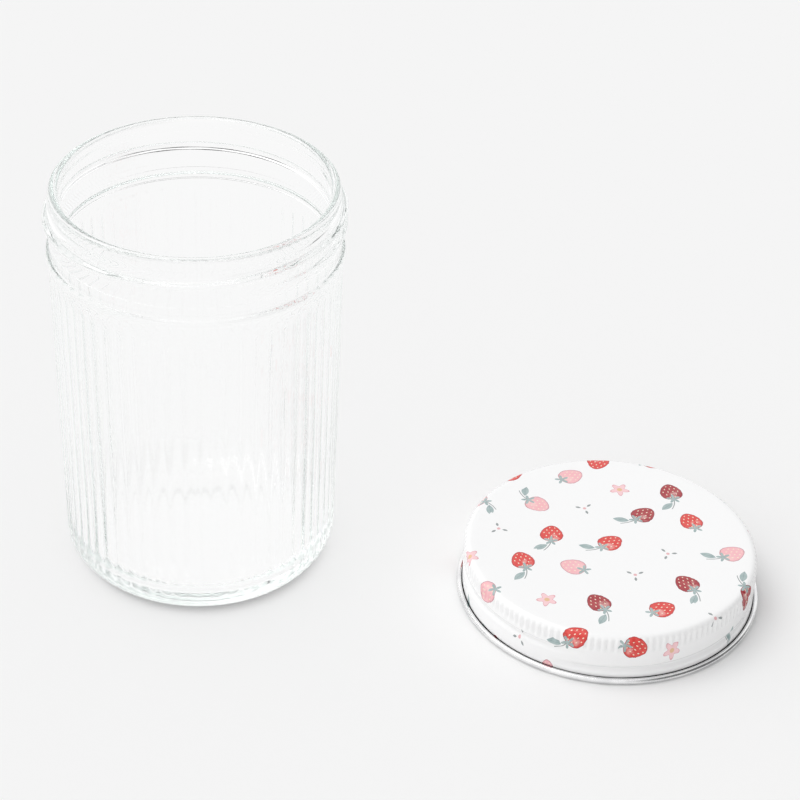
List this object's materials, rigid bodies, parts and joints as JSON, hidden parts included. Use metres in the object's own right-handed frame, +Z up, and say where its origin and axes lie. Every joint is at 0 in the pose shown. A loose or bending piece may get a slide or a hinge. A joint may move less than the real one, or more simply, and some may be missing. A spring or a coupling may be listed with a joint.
{
  "type": "jam pot",
  "caption": "Fluted clear glass jam jar with a screw neck, and its white metal screw lid with a sealing liner, lying open side down beside the jar.",
  "frame": {"origin": "centre of the jar's foot, on the surface that the jar stands on", "axes": "+Z up the jar's axis, out of the mouth; +X from the jar to the lid that lies beside it"},
  "size_m": [0.1807, 0.0768, 0.1048],
  "materials": {
    "glass": "clear, polished, faint green in the thick edges",
    "enamel": "white gloss enamel with a small printed pattern, bare bright edge",
    "liner": "soft off-white sealing compound"
  },
  "bodies": {
    "jar": {"glass_jar": "glass"},
    "liner": {"sealing_liner": "liner"},
    "lid": {"lid_shell": "enamel"}
  },
  "joints": [
    {"name": "lid_lift", "type": "slide", "parent": "jar", "child": "liner", "axis": [0, 0, 1], "range_m": [0, 0.12]},
    {"name": "lid_turn", "type": "hinge", "parent": "liner", "child": "lid", "pos_m": [0.10585, 0, 0], "axis": [0, 0, 1], "continuous": true}
  ]
}
